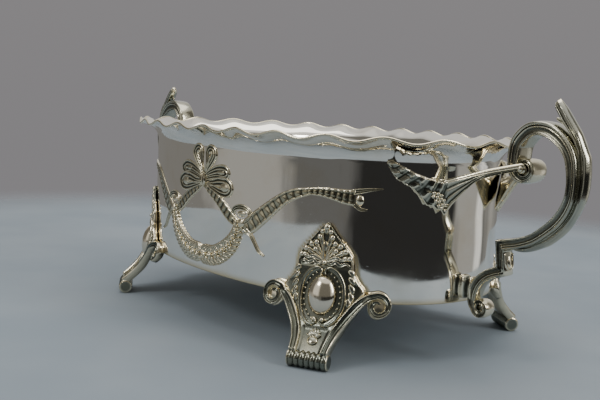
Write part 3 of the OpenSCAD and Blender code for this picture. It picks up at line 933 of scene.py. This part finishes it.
def foot_ornament():
    """The relief of a foot in drawing coordinates, mirrored about its middle."""
    half = [side_scroll(), bead(*VOLUTE, -4.1, 4.9, 4.9, 2.0, rows=9, columns=32), frame_half(),
            bead(1.8, 19.3, 0.5, 1.05)]
    for angle in np.linspace(-66, 66, 11):
        a = math.radians(angle)
        half.append(bead(8.15 * math.cos(a), RING_Z + 10.7 * math.sin(a), -0.45, 0.5, rows=4, columns=8))
    # spray: stems with berries at their ends, leaves between, and fluttering ribbon ends
    berries = [(1.9, 57.6, 1.2), (2.9, 55.2, 1.3), (4.3, 52.6, 1.3), (6.6, 51.6, 1.35), (9.0, 49.4, 1.4),
               (4.8, 49.4, 1.2), (11.0, 46.6, 1.3)]
    for x, z, r in berries:
        half.append(bead(x, z, 0.1, r, rh=r * 0.85))
        stem = curve([[0.2, 44.2, 0.9], [x * 0.42 + 0.2, 44 + (z - 44) * 0.55, 0.8], [x, z, 0.7]], 12)
        half.append(relief_band(stem, lambda u, v: 0.1 + 0.4 * (1 - u ** 2), base=-1.0, shares=5))
    spray = [(3.0, 47.4, 62, 4.4, 2.2), (5.6, 47.2, 38, 4.6, 2.3), (7.2, 45.6, 20, 4.4, 2.2),
             (1.3, 51.0, 74, 4.2, 2.0), (8.2, 51.2, 110, 2.6, 1.7)]
    for x, z, turn, length, width in spray:
        half.append(leaf(x, z, length, width, math.radians(turn), 0.8, 0.3, base=-1.0, h0=-0.2))
    low_end = [[0.6, 44.2, 0.9], [3.0, 43.4, 1.2], [5.0, 44.4, 1.3], [7.2, 43.3, 1.3], [9.6, 44.2, 1.0],
               [11.2, 43.2, 0.6]]
    high_end = [[0.6, 44.6, 0.8], [3.2, 45.6, 1.1], [5.4, 46.4, 1.2], [7.6, 45.7, 1.2], [10.2, 46.8, 0.8]]
    for line in (low_end, high_end):
        half.append(relief_band(curve(line, 30), lambda u, v: 0.35 + 0.35 * np.abs(u), base=-1.0, shares=7))
    # leaves that hang beside the frame
    hanging = [(10.8, 41.4, -25, 3.4), (11.2, 38.6, -38, 4.2), (11.6, 35.4, -50, 4.6),
               (11.9, 32.2, -62, 4.6), (11.6, 29.4, -80, 4.0)]
    for x, z, turn, length in hanging:
        half.append(leaf(x, z, length, 2.5, math.radians(turn), 1.0, -0.5, base=-0.7, h0=0.1))
    # fan of small leaves below the frame
    for turn in (62, 36, 8):
        half.append(leaf(0.3, 12.9, 3.1, 1.3, math.radians(turn), 0.8, 0.15, base=-0.7, h0=0.05, count=9))
    parts = both_sides(half)
    parts += [bead(0, 44.1, 0.6, 1.1), leaf(0, 56.6, 4.6, 2.6, math.radians(90), 1.3, base=-1.0, h0=-0.1),
              bead(0, 59.6, 0.1, 1.6, rh=1.3),
              leaf(0, 49.0, 4.6, 1.8, math.radians(90), 0.8, base=-1.0, h0=-0.2),
              leaf(0, 12.9, 3.4, 1.3, math.radians(90), 0.8, base=-0.7, h0=0.05, count=9),
              bead(0, 11.4, 0.0, 2.4, 1.5, 0.85, rows=9, columns=20)]
    return join(parts)


def toe():
    """Rolled toe: a lathe shape about the sideways axis whose radius swells into flutes, with a raised
    rim and a button at each end, and a flat worn on its underside."""
    x = np.linspace(0, 8.7, 90)
    flute = np.abs(np.cos(math.pi * x / 2.48)) ** 0.7
    r = 3.05 + 0.8 * flute * (1 - 0.1 * bump(x - 5.3, 3))
    end = np.array([[9.0, 3.7], [9.3, 3.3], [9.42, 2.6], [9.38, 2.0], [9.44, 1.3], [9.46, 0.4]])
    side = np.concatenate([np.stack([x, r], -1), end])
    line = np.concatenate([side[:0:-1] * [-1, 1], side])
    a = np.linspace(0, 2 * math.pi, 48, endpoint=False)[None, :]
    z = TOE[1] + line[:, 1:2] * np.sin(a)
    h = TOE[0] + line[:, 1:2] * np.cos(a)
    return tube(np.stack([line[:, :1] + 0 * a, np.maximum(z, 0.0), h], -1))


def foot(s0):
    """One whole foot at arc length s0."""
    parts = [foot_body(), moved(foot_ornament(), on_foot), toe()]
    return moved(join(parts), foot_place(s0))


def foot_cushion(s0):
    """The polished oval cushion of the foot at arc length s0."""
    return moved(moved(boss(), on_foot), foot_place(s0))


# ------------------------------------------------------------------ chased ornament of the wall

RELIEF_S = -1.5


def wall_relief(turned):
    """Carries drawing points (x, z, h) onto the front of the wall, or onto the back when turned."""
    shift = AROUND / 2 if turned else 0.0

    def place(p):
        lean = np.clip((p[:, 1] - FLARE_Z) / (RIM_Z - FLARE_Z), 0, 1) ** 2 * RIM_OUT * 0.45
        return wall(p[:, 0] + RELIEF_S + shift, p[:, 1], p[:, 2] + lean)
    return place


RIBBON_THICK = 1.25


def ribbon(points, count, ribs=0):
    """Chased ribbon with raised edges; it has cross ribs, or two pleats along it where ribs is 0."""
    def top(u, v):
        cell = np.abs(np.sin(math.pi * ribs * v)) ** 0.7 if ribs else 0.5 + 0.5 * np.cos(3 * math.pi * u)
        return RIBBON_THICK * (0.12 + 0.4 * bump(np.abs(u) - 0.78, 0.18) + 0.45 * cell * (1 - u ** 2))
    return relief_band(curve(points, count), top, base=-0.3, shares=13)


def bow_half():
    """Right half of the bow: an upright loop, a side loop, a full lower loop and the long tail."""
    up = [[1.0, 76.6, 2.6], [3.8, 79.8, 3.6], [6.8, 83.2, 4.4], [8.4, 86.0, 4.8], [7.2, 88.2, 4.6],
          [5.0, 88.8, 4.2], [3.2, 87.4, 4.0], [3.0, 84.4, 3.4], [2.8, 81.0, 2.6], [1.4, 77.4, 2.2]]
    side = [[1.6, 75.2, 2.2], [6.4, 77.5, 3.4], [12.0, 79.2, 4.4], [17.0, 79.4, 4.8], [19.6, 77.6, 4.4],
            [17.2, 76.2, 3.8], [12.0, 76.2, 3.4], [6.4, 75.2, 2.8], [1.8, 73.8, 2.2]]
    low = [[1.8, 72.6, 2.2], [7.0, 72.2, 3.6], [13.0, 73.2, 5.0], [18.4, 73.2, 5.6], [21.8, 70.8, 5.6],
           [20.0, 68.4, 4.8], [15.4, 68.2, 4.4], [9.4, 69.6, 3.4], [3.0, 71.2, 2.2]]
    tail = [[1.4, 70.6, 2.0], [5.2, 68.4, 3.2], [9.4, 66.4, 4.4], [13.4, 64.2, 5.2], [17.2, 61.6, 5.8],
            [20.8, 58.8, 6.0], [24.6, 56.6, 5.6], [28.6, 54.8, 4.0]]
    return [ribbon(up, 60), ribbon(side, 60), ribbon(low, 70), ribbon(tail, 80, ribs=9),
            bead(17.6, 70.8, -0.2, 3.6, 2.4, 1.15, rows=9, columns=22),
            bead(14.4, 77.8, -0.2, 3.4, 1.4, 0.9, rows=9, columns=20)]


GARLAND = [[0, 35.9, 9.0], [9.0, 36.4, 9.2], [16.2, 38.8, 8.8], [22.4, 42.8, 7.6], [26.6, 47.4, 6.2],
           [28.8, 52.0, 4.6], [29.4, 56.4, 2.6]]


def flower(x, z, r, turn):
    """Five-petalled flower head with a round eye."""
    parts = [bead(x, z, 1.5, 0.42 * r, rows=4, columns=8)]
    for k in range(5):
        a = turn + k * 2 * math.pi / 5
        petal = (x + 0.72 * r * math.cos(a), z + 0.72 * r * math.sin(a), 1.05)
        parts.append(bead(*petal, 0.5 * r, 0.36 * r, 0.5, turn=a, rows=4, columns=8))
    return parts


def garland_half():
    """Right half of the garland: a rounded core, flower heads along its middle, and leaves that lie
    back along both edges."""
    line = curve(GARLAND, 60)
    parts = [relief_band(line * [1, 1, 0.8], lambda u, v: 0.9 * (1 - u ** 2) - 0.1, base=-0.3, shares=11)]
    stations = curve(GARLAND, 17)
    left = left_of(stations)
    heading = np.arctan2(-left[:, 0], left[:, 1])
    for k in range(len(stations) - 1):
        x, z, w = stations[k]
        for side in (-1, 1):
            start = stations[k, :2] + left[k] * side * 0.10 * w
            parts.append(leaf(*start, 0.62 * w + 1.0, 0.26 * w + 0.8, heading[k] + side * 0.85, 0.85,
                              -side * 0.5, h0=0.55, base=-0.9, count=9))
            if k % 2 == 0:
                edge = stations[k, :2] + left[k] * side * (0.36 * w)
                parts.append(bead(*edge, 0.75, 0.62, rows=4, columns=8))
        if k % 2 == 0 and w > 4:
            parts += flower(x, z, 0.3 * w, 0.7 * k)
        elif w > 3:
            parts.append(bead(x, z, 1.2, 0.7, rows=4, columns=8))
    return parts


def side_knot_half():
    """Right side knot: its loop, the crossing of the ribbons, its tail and the ribbed swag that climbs
    from it to a swallow-tailed end beside the handle."""
    loop = [[29.6, 56.0, 1.8], [25.2, 58.2, 2.4], [26.0, 61.6, 2.6], [30.6, 63.0, 2.8], [35.4, 61.8, 2.8],
            [37.0, 58.8, 2.6], [34.0, 56.2, 2.2], [31.4, 54.6, 1.8]]
    tail = [[33.0, 53.6, 2.4], [37.6, 50.8, 2.2], [40.4, 47.4, 1.9], [43.2, 43.8, 1.6], [46.6, 41.9, 0.8]]
    rise = [[32.6, 53.2, 6.4], [37.2, 55.4, 8.6], [42.4, 59.2, 8.4], [47.8, 63.4, 7.6], [53.0, 67.4, 6.6],
            [57.8, 70.6, 5.6], [63.2, 72.8, 4.8], [69.8, 74.4, 3.2]]
    fall = [[68.6, 74.4, 2.8], [75.1, 74.7, 3.8], [81.3, 74.2, 5.2], [86.2, 73.5, 6.4], [91.0, 73.2, 7.2]]
    upper = [[90.0, 75.8, 2.6], [94.0, 76.6, 2.2], [98.5, 77.4, 1.4], [103.0, 78.0, 0.4]]
    lower = [[91.0, 70.6, 2.0], [93.6, 68.6, 1.8], [96.6, 68.4, 0.6]]
    return [ribbon(loop, 50), ribbon(tail, 36), ribbon(rise, 130, ribs=11), ribbon(fall, 90, ribs=8),
            ribbon(upper, 20), ribbon(lower, 16),
            bead(31.2, 55.2, 0.3, 2.6, 2.2, 1.1, turn=0.6, rows=7, columns=16),
            bead(93.2, 72.4, 0.1, 1.9, 2.4, 0.9, rows=7, columns=16),
            bead(31.0, 59.8, -0.2, 3.0, 1.6, 0.8, rows=7, columns=16)]


def wall_ornament(turned):
    """Bow, garland, side knots and ribbed swags on one side of the bowl."""
    parts = both_sides(bow_half() + garland_half() + side_knot_half())
    parts += [bead(0, 73.2, 0.4, 2.1, 4.0, 1.4, rows=9, columns=20)]
    parts += [bead(x, 73.2, 1.2, 0.35, 3.6, 0.7, rows=7, columns=10) for x in (-1.0, 0.0, 1.0)]
    return moved(join(parts), wall_relief(turned))


# ------------------------------------------------------------------ camera, floor and light


def look_camera():
    """Camera of a 50 mm lens, low and to the right of the front, level with the rim and slightly
    rolled."""
    data = bpy.data.cameras.new("camera")
    data.lens = 49.73
    data.sensor_width = 36.0
    data.clip_start = 0.01
    made = bpy.data.objects.new("camera", data)
    bpy.context.collection.objects.link(made)
    side = math.radians(50.54)
    pitch = math.radians(6.59)
    roll = math.radians(2.86)
    ahead = Vector((-math.sin(side), math.cos(side), 0)) * math.cos(pitch) + Vector((0, 0, -math.sin(pitch)))
    right = Vector((math.cos(side), math.sin(side), 0))
    up = right.cross(ahead)
    right_r = right * math.cos(roll) + up * math.sin(roll)
    up_r = up * math.cos(roll) - right * math.sin(roll)
    turn = Matrix((right_r, up_r, -ahead)).transposed().to_4x4()
    made.matrix_world = Matrix.Translation(Vector((0.3465, -0.2936, 0.1126))) @ turn
    bpy.context.scene.camera = made


FLOOR_DEEP = (0.235, 0.285, 0.335)
FLOOR_PALE = (0.285, 0.33, 0.375)


def stage_floor():
    """Round pale table top that fades out at its edge into the plain background. What the silver
    mirrors of it ends in a crisp edge instead."""
    radius = 0.62
    t = np.linspace(0, 2 * math.pi, 96, endpoint=False)
    r = np.linspace(0, radius, 12)[1:]
    flat = np.stack([np.cos(t), np.sin(t), np.zeros(len(t))], -1)[None] * r[:, None, None]
    verts = np.concatenate([flat.reshape(-1, 3), [[0, 0, 0]]])
    quads = grid_quads(len(r), len(t))
    a = np.arange(len(t))
    tris = np.stack([a, (a + 1) % len(t), np.full(len(t), len(verts) - 1)], -1)[:, [2, 0, 1]]
    mesh = bpy.data.meshes.new("floor")
    mesh.from_pydata(verts.tolist(), [], quads[:, ::-1].tolist() + tris.tolist())
    made = bpy.data.objects.new("floor", mesh)
    bpy.context.collection.objects.link(made)
    material = bpy.data.materials.new("floor_paint")
    material.use_nodes = True
    tree = material.node_tree
    shader = tree.nodes["Principled BSDF"]
    place = new_node(tree, "TexCoord").outputs["Object"]
    cloud = map_range(tree, noise(tree, place, 9.0, 3.0, 0.5), 0.3, 0.7)
    tree.links.new(colour_mix(tree, cloud, FLOOR_DEEP, FLOOR_PALE), shader.inputs["Base Color"])
    shader.inputs["Roughness"].default_value = 0.75
    reach = new_node(tree, "VectorMath", operation="LENGTH")
    tree.links.new(place, reach.inputs[0])
    faded = map_range(tree, reach.outputs["Value"], 0.40, 0.60, 1.0, 0.0)
    split = new_node(tree, "SeparateXYZ")
    tree.links.new(place, split.inputs[0])
    lean = calc(tree, "DIVIDE", split.outputs["X"], reach.outputs["Value"])
    rim = map_range(tree, lean, 0.2, 0.5, 0.47, 0.31)
    mirrored = map_range(tree, calc(tree, "SUBTRACT", reach.outputs["Value"], rim), -0.005, 0.005, 1.0, 0.0)
    seen = new_node(tree, "LightPath").outputs["Is Camera Ray"]
    kept = calc(tree, "ADD", calc(tree, "MULTIPLY", seen, faded),
                calc(tree, "MULTIPLY", calc(tree, "SUBTRACT", 1.0, seen), mirrored))
    tree.links.new(kept, shader.inputs["Alpha"])
    mesh.materials.append(material)


def area_light(name, place, aim, size, power_w, colour):
    """Rectangular soft light at place, turned towards aim."""
    data = bpy.data.lights.new(name, "AREA")
    data.shape = "RECTANGLE"
    data.size, data.size_y = size
    data.energy = power_w
    data.color = colour
    made = bpy.data.objects.new(name, data)
    bpy.context.collection.objects.link(made)
    made.location = place
    made.rotation_euler = (Vector(aim) - Vector(place)).to_track_quat("-Z", "Y").to_euler()


# Plain neutral surfaces of the studio, as light values
WALL_GREY = (0.19, 0.185, 0.175)
PALE_SCREEN = (0.34, 0.335, 0.32)
SHADED_WALL = (0.12, 0.12, 0.118)
DARK_SCREEN = (0.025, 0.025, 0.025)
STRIP_WINDOW = (0.90, 0.90, 0.88)


def studio():
    """World light: plain and pale behind the object; what the silver mirrors is a plain grey studio,
    bright overhead, with pale screens, one dark screen for contrast and a strip window."""
    world = bpy.data.worlds.new("studio")
    bpy.context.scene.world = world
    world.use_nodes = True
    tree = world.node_tree
    back = tree.nodes["Background"]
    direction = new_node(tree, "TexCoord").outputs["Generated"]
    split = new_node(tree, "SeparateXYZ")
    tree.links.new(direction, split.inputs[0])
    height = split.outputs["Z"]
    turn = calc(tree, "ARCTAN2", split.outputs["Y"], split.outputs["X"])
    share = map_range(tree, turn, -math.pi, math.pi, smooth=False)
    ragged = noise(tree, direction, 5.0, 4.0, 0.55)
    drift = calc(tree, "MULTIPLY_ADD", ragged, 0.08, calc(tree, "SUBTRACT", share, 0.04))
    ramp = new_node(tree, "ValToRGB")
    tree.links.new(drift, ramp.inputs["Fac"])
    stops = [(0.0, WALL_GREY), (0.09, WALL_GREY), (0.11, PALE_SCREEN), (0.19, PALE_SCREEN),
             (0.21, SHADED_WALL), (0.30, SHADED_WALL), (0.33, DARK_SCREEN), (0.58, DARK_SCREEN),
             (0.61, PALE_SCREEN), (0.66, PALE_SCREEN), (0.68, STRIP_WINDOW), (0.70, SHADED_WALL),
             (0.74, PALE_SCREEN), (0.80, WALL_GREY)]
    elements = ramp.color_ramp.elements
    while len(elements) < len(stops):
        elements.new(0.5)
    for element, (position, colour) in zip(elements, stops):
        element.position = position
        element.color = (*colour, 1)
    boxes = calc(tree, "MULTIPLY_ADD", turn, 3.0, 0.6)
    boxes = map_range(tree, calc(tree, "SINE", boxes), 0.2, 0.8)
    upper = colour_mix(tree, boxes, (0.16, 0.155, 0.14), (0.75, 0.74, 0.70))
    behind = map_range(tree, calc(tree, "ABSOLUTE", calc(tree, "SUBTRACT", share, 0.86)), 0.08, 0.2, 1.0, 0.0)
    upper = colour_mix(tree, behind, upper, (0.72, 0.71, 0.69))
    sky = colour_mix(tree, map_range(tree, height, 0.03, 0.10), ramp.outputs["Color"], upper)
    sky = colour_mix(tree, map_range(tree, height, 0.72, 0.80), sky, (0.9, 0.89, 0.86))
    sky = colour_mix(tree, map_range(tree, height, -0.3, -0.5), sky, (0.20, 0.20, 0.21))
    seen = new_node(tree, "LightPath").outputs["Is Camera Ray"]
    plain = colour_mix(tree, map_range(tree, height, -0.1, 0.35), (0.23, 0.222, 0.23), (0.26, 0.248, 0.25))
    tree.links.new(colour_mix(tree, seen, sky, plain), back.inputs["Color"])
    area_light("overhead", (-0.1, 0.05, 0.95), (0, 0, 0), (0.9, 0.7), 3.6, (1.0, 0.98, 0.95))
    area_light("right_window", (0.85, 0.25, 0.50), (0, 0, 0.05), (0.22, 0.55), 3.0, (1.0, 0.99, 0.96))
    area_light("front_window", (-0.05, -0.95, 0.80), (0, 0, 0.05), (0.26, 0.26), 2.6, (1.0, 0.99, 0.96))


# ------------------------------------------------------------------ make everything

look_camera()
stage_floor()
studio()

sheet, yellowed = bowl_sheet()
piece("wall_sheet", sheet, BRIGHT, ["bowl_wall"], tarnish=yellowed)
piece("bowl_floor", bowl_floor(), BRIGHT, ["base_plate"])
piece("rim_edge", rim_edge(), EDGE, ["rim_wire"])

feet = {"foot_front_right": FOOT_S, "foot_front_left": -FOOT_S,
        "foot_back_right": AROUND / 2 - FOOT_S, "foot_back_left": AROUND / 2 + FOOT_S}
for name, s0 in feet.items():
    piece(name + "_cast", foot(s0), CAST, [name], rounds=10, relief=0.28)
    cushion = foot_cushion(s0)
    piece(name + "_cushion", cushion, BRIGHT, tarnish=np.full(len(cushion[0]), 0.35))


def stood_up(p):
    """Carries drawing points (x, z, h) of a handle into place, with h towards the front."""
    return np.stack([p[:, 0], -p[:, 2], p[:, 1]], -1)


def step_face(p):
    """Carries the tongue panel's points (y, z, h) onto the outer face of the step."""
    top, low = np.array(STEP_TOP), np.array(STEP_LOW)
    share = (p[:, 1] - low[1]) / (top[1] - low[1])
    face = low[0] + low[2] / 2 + (top[0] - low[0]) * share
    return np.stack([face + p[:, 2], p[:, 0], p[:, 1]], -1)


castings = {
    "handle": (join([moved(handle(), stood_up), moved(tongue_panel(), step_face)]), 0.11),
    "thumb_leaf": (moved(thumb_leaf(), stood_up), 0.12),
    "lower_pad": (lower_pad(), 0.12),
    "eye_bar": (join([rod([[EYE[0], y, EYE[1]] for y in np.linspace(-6.4, 6.4, 9)], np.full(9, 1.5), 20),
                      bead(EYE[0], 5.4, EYE[1], 2.1, 1.5, 2.1, rows=11, columns=24),
                      bead(EYE[0], -5.4, EYE[1], 2.1, 1.5, 2.1, rows=11, columns=24)]), 0.12),
}
for side, sign in (("right", 1), ("left", -1)):
    for name, (part, relief) in castings.items():
        placed = flipped(part, (sign, sign, 1))
        piece(f"{name}_{side}_cast", placed, RUBBED, [f"{name}_{side}"], 10, relief)
    for depth, turn in (("front", 1), ("back", -1)):
        piece(f"wing_{side}_{depth}_cast", flipped(wing(), (sign, turn, 1)), RUBBED,
              [f"wing_{side}_{depth}"], 6, 0.12)

for name, turned in (("front", False), ("back", True)):
    piece(f"chased_{name}", wall_ornament(turned), CHASED, (), 6, 0.2)
